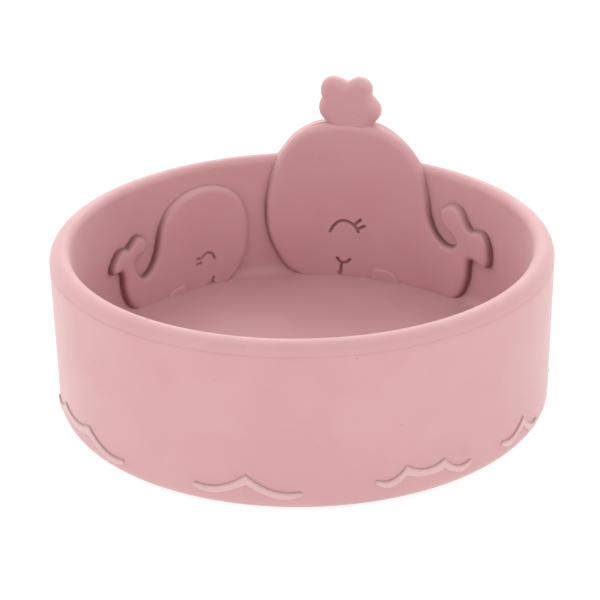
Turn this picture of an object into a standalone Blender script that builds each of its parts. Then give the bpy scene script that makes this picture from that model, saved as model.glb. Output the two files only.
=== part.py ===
"""Silicone suction bowl with two whale reliefs, as an assembly of named sub-parts.

Run it in Blender 4.5. Lengths are in metres, +Z is up and the origin is on the table,
on the bowl's axis. +Y points from the axis towards the spout on the big whale's head.

Azimuths are in degrees clockwise from +Y, seen from above. Outline points are (along, up)
in millimetres: along the wall's arc, to the right of the piece's own centre line, and up
from the bottom edge of the bowl's skirt. They are bent round the bowl afterwards.
"""

import math

import bmesh
import bpy

MM = 0.001
TOUCH_GAP = 0.3 * MM
RELIEF_GAP = 0.1 * MM
WELD = 0.001 * MM

# The bowl
OUTER_RADIUS = 65.0 * MM
FOOT_RADIUS = 64.3 * MM
WALL = 5.4 * MM
INNER_RADIUS = OUTER_RADIUS - WALL
SKIRT_LIFT = 1.2 * MM
RIM_HEIGHT = SKIRT_LIFT + 44.6 * MM
RIM_OUTER_ROUND = 2.9 * MM
RIM_INNER_ROUND = WALL - RIM_OUTER_ROUND
FLOOR_HEIGHT = SKIRT_LIFT + 8.5 * MM
FLOOR_THICKNESS = 4.0 * MM
FLOOR_FILLET = 3.0 * MM
BOTTOM_ROUND = 4.0 * MM
SKIRT_INNER_RADIUS = 58.5 * MM
CEILING_HEIGHT = FLOOR_HEIGHT - FLOOR_THICKNESS

# The thumb notch in the skirt, at the back
NOTCH_WIDTH = 20.0 * MM
NOTCH_TOP = SKIRT_LIFT + 6.5 * MM
NOTCH_DEPTH_START = 57.0 * MM
NOTCH_ROUND = 2.0 * MM

# The whales
BIG_FACE_RADIUS = 57.2 * MM
SMALL_FACE_RADIUS = 57.3 * MM
SMALL_WHALE_AZIMUTH = -52.0
FIN_RELIEF = 0.6 * MM
SPOUT_INNER_RADIUS = 57.5 * MM
SPOUT_OUTER_RADIUS = 63.0 * MM

# The waves round the skirt
WAVE_FACE_RADIUS = OUTER_RADIUS
WAVE_BACK_RADIUS = OUTER_RADIUS - 0.5 * MM
WAVE_PEAK_BAND = 2.6 * MM
WAVE_TROUGH_BAND = 1.7 * MM

# The suction foot
LIP_OUTER_RADIUS = 57.5 * MM
LIP_INNER_RADIUS = 50.3 * MM
LIP_EDGE_THICKNESS = 0.9 * MM
LIP_ROOT_THICKNESS = 2.6 * MM
MEMBRANE_THICKNESS = 1.4 * MM
HUB_RADIUS = 11.0 * MM
HUB_THICKNESS = 2.0 * MM
HUB_TOP = CEILING_HEIGHT - TOUCH_GAP
STUD_RADIUS = 4.0 * MM
STUD_CHAMFER = 0.8 * MM
SOCKET_RADIUS = STUD_RADIUS + TOUCH_GAP
SOCKET_TOP = FLOOR_HEIGHT - 1.3 * MM

# The release tab
TAB_HINGE_Y = LIP_OUTER_RADIUS + TOUCH_GAP
TAB_HINGE_Z = 0.9 * MM
TAB_HALF_WIDTH = 7.0 * MM
TAB_LENGTH = 6.8 * MM
TAB_THICKNESS = 1.2 * MM
TAB_BOTTOM = 0.3 * MM
TAB_BEAD_START = 4.6 * MM
TAB_BEAD_RISE = 0.9 * MM

# How finely round things are made
TURN_STEPS = 96
FOOT_STEPS = 64
ARC_STEPS = 4
OUTLINE_STEPS = 3
COLUMN = 4.0 * MM

SMOOTH, CORNER = "AUTO", "VECTOR"

# (along, up, kind) in millimetres, clockwise from the bottom left as seen from the centre
BIG_WHALE_OUTLINE = (
    (-15.0, 8.8, CORNER), (-17.9, 10.4, SMOOTH), (-21.4, 15.7, SMOOTH),
    (-23.7, 22.0, SMOOTH), (-24.3, 28.5, SMOOTH), (-23.2, 36.5, SMOOTH), (-21.0, 42.3, SMOOTH),
    (-18.0, 47.6, SMOOTH), (-13.8, 51.5, SMOOTH), (-7.6, 54.0, SMOOTH), (0.5, 54.8, SMOOTH),
    (7.5, 54.1, SMOOTH), (13.6, 51.9, SMOOTH), (18.4, 48.6, SMOOTH), (21.7, 44.6, SMOOTH),
    (23.5, 40.0, SMOOTH), (24.7, 35.2, SMOOTH), (25.6, 30.6, SMOOTH), (27.4, 26.8, SMOOTH),
    (30.2, 24.2, SMOOTH), (33.0, 23.6, SMOOTH), (35.4, 24.4, SMOOTH), (36.2, 25.7, SMOOTH),
    (34.8, 27.2, SMOOTH), (31.6, 29.3, SMOOTH), (29.9, 31.6, SMOOTH), (30.0, 33.8, SMOOTH),
    (31.9, 35.5, SMOOTH), (34.6, 36.4, SMOOTH), (37.0, 35.4, SMOOTH), (39.2, 32.6, SMOOTH),
    (41.2, 30.8, SMOOTH), (43.6, 31.3, SMOOTH), (46.4, 31.6, SMOOTH), (48.8, 29.6, SMOOTH),
    (49.8, 26.4, SMOOTH), (49.7, 23.6, SMOOTH), (48.7, 22.3, SMOOTH), (46.4, 22.4, SMOOTH),
    (43.6, 22.7, SMOOTH), (41.4, 22.2, SMOOTH), (40.7, 20.4, SMOOTH), (40.3, 16.6, SMOOTH),
    (39.0, 12.7, SMOOTH), (37.4, 10.1, SMOOTH), (35.9, 8.8, CORNER),
)
BIG_FIN_OUTLINE = (
    (7.5, 8.8, CORNER), (7.2, 10.6, SMOOTH), (7.9, 11.7, SMOOTH), (10.2, 12.0, SMOOTH),
    (13.0, 11.8, SMOOTH), (15.2, 10.5, SMOOTH), (16.2, 8.8, CORNER),
)
SPOUT_OUTLINE = (
    (-5.2, 55.1, CORNER), (-8.5, 58.8, SMOOTH), (-7.7, 61.7, CORNER), (-8.2, 65.2, SMOOTH),
    (-4.9, 68.5, SMOOTH), (-0.7, 66.3, CORNER), (3.2, 68.5, SMOOTH), (6.6, 65.2, SMOOTH),
    (6.7, 62.5, CORNER), (9.0, 58.8, SMOOTH), (6.2, 55.1, CORNER),
)
SMALL_WHALE_OUTLINE = (
    (-15.6, 8.8, CORNER), (-17.2, 10.3, SMOOTH), (-19.0, 13.2, SMOOTH),
    (-20.1, 17.0, SMOOTH), (-20.4, 20.6, SMOOTH), (-21.4, 22.3, SMOOTH), (-23.4, 22.6, SMOOTH),
    (-25.4, 23.0, SMOOTH), (-25.4, 24.4, SMOOTH), (-23.8, 26.3, SMOOTH), (-21.4, 28.0, SMOOTH),
    (-19.4, 28.1, SMOOTH), (-17.7, 27.5, SMOOTH), (-15.8, 28.8, SMOOTH), (-13.6, 29.9, SMOOTH),
    (-11.4, 29.2, SMOOTH), (-10.2, 27.5, SMOOTH), (-10.6, 25.6, SMOOTH), (-12.4, 24.4, SMOOTH),
    (-14.9, 24.0, SMOOTH), (-15.6, 22.8, SMOOTH), (-15.0, 20.4, SMOOTH), (-13.6, 18.3, SMOOTH),
    (-11.6, 17.1, SMOOTH), (-9.6, 17.8, SMOOTH), (-7.6, 19.7, SMOOTH), (-6.2, 22.4, SMOOTH),
    (-5.0, 26.4, SMOOTH), (-3.4, 30.6, SMOOTH), (-0.7, 33.9, SMOOTH), (3.0, 36.4, SMOOTH),
    (7.4, 37.9, SMOOTH), (11.8, 38.2, SMOOTH), (16.4, 37.3, SMOOTH), (20.2, 35.0, SMOOTH),
    (22.9, 30.8, SMOOTH), (23.9, 24.6, SMOOTH), (23.2, 17.6, SMOOTH), (21.2, 12.4, SMOOTH),
    (18.3, 8.8, CORNER),
)
SMALL_FIN_OUTLINE = (
    (-3.5, 8.8, CORNER), (-1.4, 10.1, SMOOTH), (0.8, 10.6, SMOOTH),
    (2.5, 10.6, SMOOTH), (2.9, 8.8, CORNER),
)

# Each wave is (azimuth of its left end, (arc widths), (height of each end and peak)), mm
WAVES = (
    (191.2, (13.6, 13.7), (6.8, 10.1, 6.2)),
    (150.6, (8.1, 11.2, 8.3), (6.7, 9.6, 8.5, 6.3)),
    (115.5, (11.3, 11.8), (5.8, 7.8, 4.6)),
    (246.5, (11.2, 16.3, 14.3), (6.4, 9.2, 9.6, 5.9)),
    (79.0, (12.4, 12.8), (6.8, 9.6, 6.8)),
    (48.0, (9.8, 10.4, 9.6), (7.0, 10.2, 9.8, 7.2)),
    (338.0, (13.0, 13.4), (6.8, 10.0, 7.0)),
    (288.0, (8.4, 10.8, 8.6), (7.2, 10.3, 9.9, 7.4)),
)
WAVE_SAG = 2.0
WAVE_ARC_STEPS = 5

BOWL_PINK = (0.745, 0.434, 0.434, 1.0)
WHALE_PINK = (0.720, 0.410, 0.412, 1.0)
FOOT_PINK = (0.690, 0.390, 0.395, 1.0)
SILICONE_ROUGHNESS = 0.55


def clear_scene():
    for thing in list(bpy.data.objects):
        bpy.data.objects.remove(thing, do_unlink=True)


def new_collection(name, hidden=False):
    collection = bpy.data.collections.new(name)
    collection.hide_render = hidden
    bpy.context.scene.collection.children.link(collection)
    return collection


def silicone(name, colour):
    material = bpy.data.materials.new(name)
    material.use_nodes = True
    shader = material.node_tree.nodes["Principled BSDF"]
    shader.inputs["Base Color"].default_value = colour
    shader.inputs["Roughness"].default_value = SILICONE_ROUGHNESS
    shader.inputs["Metallic"].default_value = 0.0
    return material


def add_object(name, data, collection, material=None, parent=None):
    thing = bpy.data.objects.new(name, data)
    collection.objects.link(thing)
    if material:
        data.materials.append(material)
    thing.parent = parent
    return thing


def add_empty(name, place, collection):
    empty = bpy.data.objects.new(name, None)
    empty.empty_display_size = 10 * MM
    empty.location = place
    collection.objects.link(empty)
    return empty


def evaluated_mesh(thing):
    """The thing's mesh with its modifiers applied, as a new mesh."""
    graph = bpy.context.evaluated_depsgraph_get()
    return bpy.data.meshes.new_from_object(thing.evaluated_get(graph))


def shade_round(mesh):
    mesh.shade_smooth()
    mesh.set_sharp_from_angle(angle=math.radians(35))


def arc(centre_r, centre_z, radius, start, end, steps=ARC_STEPS):
    """Points (r, z) on an arc from angle start to angle end, in degrees from +r."""
    turn = math.radians(end - start) / steps
    first = math.radians(start)
    return [
        (centre_r + radius * math.cos(first + turn * i), centre_z + radius * math.sin(first + turn * i))
        for i in range(steps + 1)
    ]


def turned(name, profile, collection, material, parent, steps, closed):
    """A profile of (r, z) points, run down its outer side, turned about Z with a Screw."""
    mesh = bpy.data.meshes.new(name)
    edges = [(i, i + 1) for i in range(len(profile) - 1)]
    if closed:
        edges.append((len(profile) - 1, 0))
    mesh.from_pydata([(r, 0.0, z) for r, z in profile], edges, [])
    thing = add_object(name, mesh, collection, material, parent)
    screw = thing.modifiers.new("turn", "SCREW")
    screw.axis = "Z"
    screw.steps = steps
    screw.render_steps = steps
    screw.use_merge_vertices = True
    screw.merge_threshold = WELD
    screw.use_smooth_shade = True
    return thing


def outline_mesh(name, outline, thickness, kind="BEZIER"):
    """A flat closed outline as a solid plate, centred on its own plane, with n-gon faces."""
    curve = bpy.data.curves.new(name, "CURVE")
    curve.dimensions = "2D"
    curve.fill_mode = "BOTH"
    curve.resolution_u = OUTLINE_STEPS
    curve.extrude = thickness / 2
    spline = curve.splines.new(kind)
    spline.use_cyclic_u = True
    if kind == "BEZIER":
        spline.bezier_points.add(len(outline) - 1)
        for point, (along, up, handle) in zip(spline.bezier_points, outline):
            point.co = (along * MM, up * MM, 0.0)
            point.handle_left_type = handle
            point.handle_right_type = handle
    else:
        spline.points.add(len(outline) - 1)
        for point, (along, up) in zip(spline.points, outline):
            point.co = (along * MM, up * MM, 0.0, 1.0)
    plate = bpy.data.objects.new(name, curve)
    bpy.context.scene.collection.objects.link(plate)
    mesh = evaluated_mesh(plate)
    bpy.data.objects.remove(plate)
    bpy.data.curves.remove(curve)
    work = bmesh.new()
    work.from_mesh(mesh)
    bmesh.ops.remove_doubles(work, verts=work.verts, dist=WELD)
    bmesh.ops.dissolve_limit(
        work, angle_limit=math.radians(0.5), verts=work.verts[:], edges=work.edges[:]
    )
    bmesh.ops.recalc_face_normals(work, faces=work.faces[:])
    work.to_mesh(mesh)
    work.free()
    mesh.name = name
    return mesh


def cut_at(work, place, direction):
    geometry = work.verts[:] + work.edges[:] + work.faces[:]
    bmesh.ops.bisect_plane(work, geom=geometry, dist=WELD, plane_co=place, plane_no=direction)


def bend_round(mesh, middle_radius, azimuth, seen_from_inside=True, fillet_back=False):
    """Bends a plate round the bowl's axis. With fillet_back its back clears the floor fillet."""
    work = bmesh.new()
    work.from_mesh(mesh)
    low = min(vert.co.x for vert in work.verts)
    high = max(vert.co.x for vert in work.verts)
    for i in range(math.ceil(low / COLUMN), math.floor(high / COLUMN) + 1):
        cut_at(work, (i * COLUMN, 0, 0), (1, 0, 0))
    if fillet_back:
        for _, z in arc(0.0, FLOOR_HEIGHT + FLOOR_FILLET, FLOOR_FILLET, -90, 0):
            cut_at(work, (0, z - SKIRT_LIFT, 0), (0, 1, 0))
    arc_radius = INNER_RADIUS if seen_from_inside else OUTER_RADIUS
    side = 1 if seen_from_inside else -1
    for vert in work.verts:
        along, up, out = vert.co
        angle = math.radians(azimuth) + side * along / arc_radius
        radius = middle_radius + out
        height = up + SKIRT_LIFT
        if fillet_back and out > 0:
            radius -= fillet_intrusion(height)
        vert.co = (radius * math.sin(angle), radius * math.cos(angle), height)
    if seen_from_inside:
        bmesh.ops.reverse_faces(work, faces=work.faces[:])
    work.to_mesh(mesh)
    work.free()
    shade_round(mesh)
    return mesh


def fillet_intrusion(height):
    """How far the fillet between floor and wall stands in from the wall at a height."""
    above = height - FLOOR_HEIGHT
    if above >= FLOOR_FILLET:
        return 0.0
    return FLOOR_FILLET - math.sqrt(FLOOR_FILLET**2 - (FLOOR_FILLET - above) ** 2)


def head_crest(mesh):
    """(along, height) of the outline's points that stand above the rim, left to right."""
    crest = sorted(
        (vert.co.x, vert.co.y + SKIRT_LIFT)
        for vert in mesh.vertices
        if vert.co.z > 0 and vert.co.y + SKIRT_LIFT > RIM_HEIGHT - 2 * MM
    )
    return crest


def crest_rise(crest, along):
    """How far the head stands above the rim at a place along the wall."""
    for (x0, z0), (x1, z1) in zip(crest, crest[1:]):
        if x0 <= along <= x1:
            share = (along - x0) / max(x1 - x0, WELD)
            return max(0.0, z0 + (z1 - z0) * share - RIM_HEIGHT)
    return 0.0


def bowl_profile():
    """The wall, floor, skirt and the blind socket under the floor."""
    fillet = arc(INNER_RADIUS - FLOOR_FILLET, FLOOR_HEIGHT + FLOOR_FILLET, FLOOR_FILLET, -90, 0)
    rim_in = arc(INNER_RADIUS + RIM_INNER_ROUND, RIM_HEIGHT - RIM_INNER_ROUND, RIM_INNER_ROUND, 180, 90)
    rim_out = arc(OUTER_RADIUS - RIM_OUTER_ROUND, RIM_HEIGHT - RIM_OUTER_ROUND, RIM_OUTER_ROUND, 90, 0)
    bottom = arc(FOOT_RADIUS - BOTTOM_ROUND, SKIRT_LIFT + BOTTOM_ROUND, BOTTOM_ROUND, 0, -90)
    recess = [
        (SKIRT_INNER_RADIUS, SKIRT_LIFT),
        (SKIRT_INNER_RADIUS, CEILING_HEIGHT),
        (SOCKET_RADIUS, CEILING_HEIGHT),
        (SOCKET_RADIUS, SOCKET_TOP),
        (0.0, SOCKET_TOP),
    ]
    return [(0.0, FLOOR_HEIGHT)] + fillet + rim_in + rim_out[1:] + bottom + recess


def make_bowl_shell(collection, cutters, material, parent, crest):
    """The turned bowl, whose rim rises behind the big whale's head."""
    shell = turned("bowl_shell", bowl_profile(), collection, material, parent, TURN_STEPS, False)
    mesh = evaluated_mesh(shell)
    shell.modifiers.clear()
    for vert in mesh.vertices:
        if vert.co.z < RIM_HEIGHT - RIM_OUTER_ROUND - WELD:
            continue
        along = math.atan2(vert.co.x, vert.co.y) * INNER_RADIUS
        vert.co.z += crest_rise(crest, along)
    shade_round(mesh)
    mesh.name = "bowl_shell"
    shell.data = mesh
    cut = shell.modifiers.new("thumb_notch", "BOOLEAN")
    cut.operation = "DIFFERENCE"
    cut.solver = "EXACT"
    cut.object = make_notch_cutter(cutters)
    return shell


def make_notch_cutter(cutters):
    """A rounded block that opens the skirt over the release tab."""
    depth = OUTER_RADIUS + 5 * MM - NOTCH_DEPTH_START
    below = 5 * MM
    work = bmesh.new()
    bmesh.ops.create_cube(work, size=1.0)
    bmesh.ops.scale(work, vec=(NOTCH_WIDTH, depth, NOTCH_TOP + below), verts=work.verts)
    middle = (0.0, NOTCH_DEPTH_START + depth / 2, (NOTCH_TOP - below) / 2)
    bmesh.ops.translate(work, vec=middle, verts=work.verts)
    bmesh.ops.bevel(
        work, geom=work.edges[:], offset=NOTCH_ROUND, segments=3, profile=0.5, affect="EDGES"
    )
    mesh = bpy.data.meshes.new("notch_cutter")
    work.to_mesh(mesh)
    work.free()
    cutter = add_object("notch_cutter", mesh, cutters)
    cutter.display_type = "WIRE"
    cutter.hide_render = True
    return cutter


def make_whale(name, flat, face_radius, azimuth, collection, material, parent):
    """A whale panel, from its face to just short of the bowl's wall."""
    back_radius = INNER_RADIUS - TOUCH_GAP
    mesh = bend_round(flat, (face_radius + back_radius) / 2, azimuth, fillet_back=True)
    return add_object(name, mesh, collection, material, parent)


def make_fin(name, outline, face_radius, azimuth, collection, material, parent):
    """A fin that stands a little proud of its whale."""
    thickness = FIN_RELIEF - RELIEF_GAP
    flat = outline_mesh(name, outline, thickness)
    mesh = bend_round(flat, face_radius - RELIEF_GAP - thickness / 2, azimuth)
    return add_object(name, mesh, collection, material, parent)


def make_spout(collection, material, parent):
    """The four-lobed spout that stands on the big whale's head."""
    flat = outline_mesh("big_whale_spout", SPOUT_OUTLINE, SPOUT_OUTER_RADIUS - SPOUT_INNER_RADIUS)
    mesh = bend_round(flat, (SPOUT_OUTER_RADIUS + SPOUT_INNER_RADIUS) / 2, 0.0)
    return add_object("big_whale_spout", mesh, collection, material, parent)


def wave_outline(widths, heights):
    """A band of arcs that sag between sharp peaks, as (along, up) points in millimetres."""
    top, bottom = [], []
    start = 0.0
    peak_band, trough_band = WAVE_PEAK_BAND / MM, WAVE_TROUGH_BAND / MM
    for width, low, high in zip(widths, heights, heights[1:]):
        for i in range(WAVE_ARC_STEPS):
            share = i / WAVE_ARC_STEPS
            bow = 4 * share * (1 - share)
            up = low + (high - low) * share - WAVE_SAG * bow
            top.append((start + width * share, up))
            bottom.append((start + width * share, up - peak_band + (peak_band - trough_band) * bow))
        start += width
    left_end, right_end = (-0.6, heights[0] - 0.8), (start + 0.6, heights[-1] - 0.8)
    top[0] = (top[0][0], heights[0] - 0.1)
    bottom[0] = (bottom[0][0], heights[0] - trough_band)
    top.append((start, heights[-1] - 0.1))
    bottom.append((start, heights[-1] - trough_band))
    return [left_end] + top + [right_end] + bottom[::-1]


def make_wave(number, azimuth, widths, heights, collection, material, parent):
    name = f"wave_{number}"
    flat = outline_mesh(name, wave_outline(widths, heights), WAVE_FACE_RADIUS - WAVE_BACK_RADIUS, "POLY")
    middle = (WAVE_FACE_RADIUS + WAVE_BACK_RADIUS) / 2
    mesh = bend_round(flat, middle, azimuth, seen_from_inside=False)
    return add_object(name, mesh, collection, material, parent)


def make_suction_lip(collection, material):
    profile = [
        (LIP_INNER_RADIUS, LIP_ROOT_THICKNESS),
        (LIP_INNER_RADIUS + 1.5 * MM, LIP_ROOT_THICKNESS - 0.1 * MM),
        (LIP_OUTER_RADIUS, LIP_EDGE_THICKNESS),
        (LIP_OUTER_RADIUS, 0.0),
        (LIP_INNER_RADIUS, 0.0),
    ]
    return turned("suction_lip", profile, collection, material, None, FOOT_STEPS, True)


def make_suction_membrane(collection, material):
    """The thin dome between the lip and the hub, which flattens as the bowl is pressed."""
    inner = HUB_RADIUS + TOUCH_GAP
    outer = LIP_INNER_RADIUS - TOUCH_GAP
    top_edge = LIP_ROOT_THICKNESS - 0.2 * MM
    top_rise = HUB_TOP - 0.4 * MM - top_edge
    steps = 7
    top = []
    for i in range(steps + 1):
        share = i / steps
        height = top_edge + top_rise * math.cos(math.pi / 2 * share)
        top.append((inner + (outer - inner) * share, height))
    bottom = [(r, z - MEMBRANE_THICKNESS) for r, z in reversed(top)]
    return turned("suction_membrane", top + bottom, collection, material, None, FOOT_STEPS, True)


def make_suction_hub(collection, material, parent):
    """The disc at the middle of the foot, with the stud that plugs into the bowl's floor."""
    stud_top = SOCKET_TOP - TOUCH_GAP
    profile = [
        (0.0, stud_top),
        (STUD_RADIUS - STUD_CHAMFER, stud_top),
        (STUD_RADIUS, stud_top - STUD_CHAMFER),
        (STUD_RADIUS, HUB_TOP),
        (HUB_RADIUS, HUB_TOP),
        (HUB_RADIUS, HUB_TOP - HUB_THICKNESS),
        (0.0, HUB_TOP - HUB_THICKNESS),
    ]
    return turned("suction_hub", profile, collection, material, parent, FOOT_STEPS // 2, False)


def make_release_tab(collection, material, hinge):
    """A short tongue at the lip's edge, with a bead to pull on, hinged at its root."""
    half, length = TAB_HALF_WIDTH / MM, TAB_LENGTH / MM
    outline = (
        (-half, 0.0, CORNER), (-half + 0.6, length * 0.62, SMOOTH), (-half + 3.4, length * 0.97, SMOOTH),
        (0.0, length, SMOOTH), (half - 3.4, length * 0.97, SMOOTH), (half - 0.6, length * 0.62, SMOOTH),
        (half, 0.0, CORNER),
    )
    mesh = outline_mesh("release_tab", outline, TAB_THICKNESS)
    work = bmesh.new()
    work.from_mesh(mesh)
    cut_at(work, (0, TAB_BEAD_START - 0.6 * MM, 0), (0, 1, 0))
    cut_at(work, (0, TAB_BEAD_START, 0), (0, 1, 0))
    middle = TAB_BOTTOM + TAB_THICKNESS / 2 - TAB_HINGE_Z
    for vert in work.verts:
        raised = vert.co.z > 0 and vert.co.y > TAB_BEAD_START - WELD
        vert.co.z += middle + (TAB_BEAD_RISE if raised else 0.0)
    work.to_mesh(mesh)
    work.free()
    shade_round(mesh)
    return add_object("release_tab", mesh, collection, material, hinge)


def main():
    clear_scene()
    parts = new_collection("suction_bowl")
    cutters = new_collection("cutters", hidden=True)
    bowl_pink = silicone("bowl_silicone", BOWL_PINK)
    whale_pink = silicone("whale_silicone", WHALE_PINK)
    foot_pink = silicone("foot_silicone", FOOT_PINK)
    press = add_empty("press_down_axis", (0.0, 0.0, 0.0), parts)
    hinge = add_empty("release_tab_hinge", (0.0, TAB_HINGE_Y, TAB_HINGE_Z), parts)

    back_radius = INNER_RADIUS - TOUCH_GAP
    big_flat = outline_mesh("big_whale", BIG_WHALE_OUTLINE, back_radius - BIG_FACE_RADIUS)
    small_flat = outline_mesh("small_whale", SMALL_WHALE_OUTLINE, back_radius - SMALL_FACE_RADIUS)
    make_bowl_shell(parts, cutters, bowl_pink, press, head_crest(big_flat))
    make_whale("big_whale", big_flat, BIG_FACE_RADIUS, 0.0, parts, whale_pink, press)
    make_fin("big_whale_fin", BIG_FIN_OUTLINE, BIG_FACE_RADIUS, 0.0, parts, whale_pink, press)
    make_spout(parts, whale_pink, press)
    make_whale(
        "small_whale", small_flat, SMALL_FACE_RADIUS, SMALL_WHALE_AZIMUTH, parts, whale_pink, press
    )
    make_fin(
        "small_whale_fin", SMALL_FIN_OUTLINE, SMALL_FACE_RADIUS, SMALL_WHALE_AZIMUTH, parts,
        whale_pink, press,
    )
    for number, (azimuth, widths, heights) in enumerate(WAVES, start=1):
        make_wave(number, azimuth, widths, heights, parts, bowl_pink, press)

    make_suction_lip(parts, foot_pink)
    make_suction_membrane(parts, foot_pink)
    make_suction_hub(parts, foot_pink, press)
    make_release_tab(parts, foot_pink, hinge)


main()
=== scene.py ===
"""Looks of a silicone suction bowl with two whale reliefs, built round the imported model.

Lengths in the code are metres. Outline points are (along, up) in millimetres: along the
wall's arc, to the right of the piece's own centre line, and up from the skirt's bottom
edge. Azimuths are clockwise from +Y, seen from above; the spout stands at azimuth 0.
"""

import math

import bmesh
import bpy
import numpy as np
from mathutils import Matrix, Vector
from mathutils.geometry import delaunay_2d_cdt


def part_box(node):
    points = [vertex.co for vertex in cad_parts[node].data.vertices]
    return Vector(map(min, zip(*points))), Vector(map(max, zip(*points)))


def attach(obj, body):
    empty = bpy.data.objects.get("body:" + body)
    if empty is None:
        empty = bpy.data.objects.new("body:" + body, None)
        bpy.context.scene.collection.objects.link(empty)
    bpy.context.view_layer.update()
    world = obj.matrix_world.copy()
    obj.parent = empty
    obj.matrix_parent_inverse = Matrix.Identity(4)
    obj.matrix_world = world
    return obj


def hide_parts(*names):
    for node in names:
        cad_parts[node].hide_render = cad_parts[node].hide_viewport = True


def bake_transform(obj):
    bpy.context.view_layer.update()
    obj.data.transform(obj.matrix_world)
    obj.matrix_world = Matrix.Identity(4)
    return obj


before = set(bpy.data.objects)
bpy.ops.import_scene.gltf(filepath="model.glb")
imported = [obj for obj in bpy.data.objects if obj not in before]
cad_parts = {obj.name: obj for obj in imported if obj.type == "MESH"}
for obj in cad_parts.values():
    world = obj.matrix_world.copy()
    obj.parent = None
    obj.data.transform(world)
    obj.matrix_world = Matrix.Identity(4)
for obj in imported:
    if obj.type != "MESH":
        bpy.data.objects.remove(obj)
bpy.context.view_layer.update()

bl_info = {
    "name": "Whale suction bowl",
    "version": (1, 0, 0),
    "blender": (4, 5, 0),
    "location": "View3D > Sidebar > Suction Bowl",
    "description": "Moulds the bowl, its whales, its waves and its suction foot in silicone",
    "category": "Object",
}

MM = 0.001
WELD = 1e-6
WAVE_INSET = 0.02 * MM  # keeps the waves just inside the bowl's outer radius
JUST_INSIDE = 0.99998  # scale that keeps the turned bowl inside its own outer radius
SMOOTH, CORNER = "AUTO", "VECTOR"

SHELL_LOW, SHELL_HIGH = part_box("bowl_shell")
TAB_LOW, TAB_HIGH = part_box("release_tab")
OUTER_RADIUS = SHELL_HIGH.x
SKIRT_BOTTOM = SHELL_LOW.z
LIP_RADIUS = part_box("suction_lip")[1].x
HUB_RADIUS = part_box("suction_hub")[1].x

# Brightness of the white surround at rising angles above the horizon, in degrees
SKY = ((-5, 1.0), (0, 1.0), (8, 1.35), (16, 1.75), (30, 1.35), (45, 0.95), (90, 0.9))
# Each softbox is (name, place, point it faces, width, power in watts)
SOFTBOXES = (
    ("left_softbox", (-0.9, 0.3, 0.8), (0, 0, 0.03), 0.8, 1.5),
    ("back_softbox", (-0.1, 0.9, 0.9), (0, 0, 0.04), 0.8, 6.0),
)

# (along, up, kind), clockwise from the bottom left as seen from the bowl's centre
BIG_WHALE_OUTLINE = (
    (-14.2, 7.5, CORNER), (-14.9, 8.4, SMOOTH), (-17.9, 10.4, SMOOTH), (-21.4, 15.7, SMOOTH),
    (-23.7, 22.0, SMOOTH), (-24.3, 28.5, SMOOTH), (-23.2, 36.5, SMOOTH), (-21.0, 42.3, SMOOTH),
    (-18.0, 47.6, SMOOTH), (-13.8, 51.5, SMOOTH), (-7.6, 54.0, SMOOTH), (0.5, 54.8, SMOOTH),
    (7.5, 54.1, SMOOTH), (13.6, 51.9, SMOOTH), (18.4, 48.6, SMOOTH), (21.7, 44.6, SMOOTH),
    (23.5, 40.0, SMOOTH), (24.7, 35.2, SMOOTH), (25.6, 30.6, SMOOTH), (27.4, 26.8, SMOOTH),
    (30.2, 24.2, SMOOTH), (33.0, 23.6, SMOOTH), (35.4, 24.4, SMOOTH), (36.2, 25.7, SMOOTH),
    (34.8, 27.2, SMOOTH), (31.6, 29.3, SMOOTH), (29.9, 31.6, SMOOTH), (30.0, 33.8, SMOOTH),
    (31.9, 35.5, SMOOTH), (34.6, 36.4, SMOOTH), (37.0, 35.4, SMOOTH), (39.2, 32.6, SMOOTH),
    (41.2, 30.8, SMOOTH), (43.6, 31.3, SMOOTH), (46.4, 31.6, SMOOTH), (48.8, 29.6, SMOOTH),
    (49.8, 26.4, SMOOTH), (49.7, 23.6, SMOOTH), (48.7, 22.3, SMOOTH), (46.4, 22.4, SMOOTH),
    (43.6, 22.7, SMOOTH), (41.4, 22.2, SMOOTH), (40.7, 20.4, SMOOTH), (40.3, 16.6, SMOOTH),
    (39.0, 12.7, SMOOTH), (37.0, 9.6, SMOOTH), (34.6, 7.9, SMOOTH), (33.8, 7.5, CORNER),
)
BIG_FIN_OUTLINE = (
    (7.6, 7.5, CORNER), (7.2, 10.6, SMOOTH), (7.9, 11.7, SMOOTH), (10.2, 12.0, SMOOTH),
    (13.0, 11.8, SMOOTH), (15.2, 10.5, SMOOTH), (16.3, 8.6, SMOOTH), (16.5, 7.5, CORNER),
)
SPOUT_OUTLINE = (
    (-4.9, 52.0, CORNER), (-5.2, 53.6, SMOOTH), (-7.0, 55.5, SMOOTH), (-8.5, 58.0, SMOOTH),
    (-8.5, 60.3, SMOOTH), (-7.9, 61.9, SMOOTH), (-8.1, 64.0, SMOOTH), (-7.3, 66.7, SMOOTH),
    (-5.2, 68.0, SMOOTH), (-3.2, 67.8, SMOOTH), (-1.6, 67.2, SMOOTH), (-0.6, 66.8, SMOOTH),
    (0.4, 67.3, SMOOTH), (2.4, 68.2, SMOOTH), (4.6, 67.7, SMOOTH), (6.4, 65.6, SMOOTH),
    (6.5, 63.1, SMOOTH), (7.6, 61.9, SMOOTH), (8.9, 59.8, SMOOTH), (8.7, 57.2, SMOOTH),
    (7.3, 55.3, SMOOTH), (6.3, 53.8, SMOOTH), (6.1, 52.0, CORNER),
)
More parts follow.
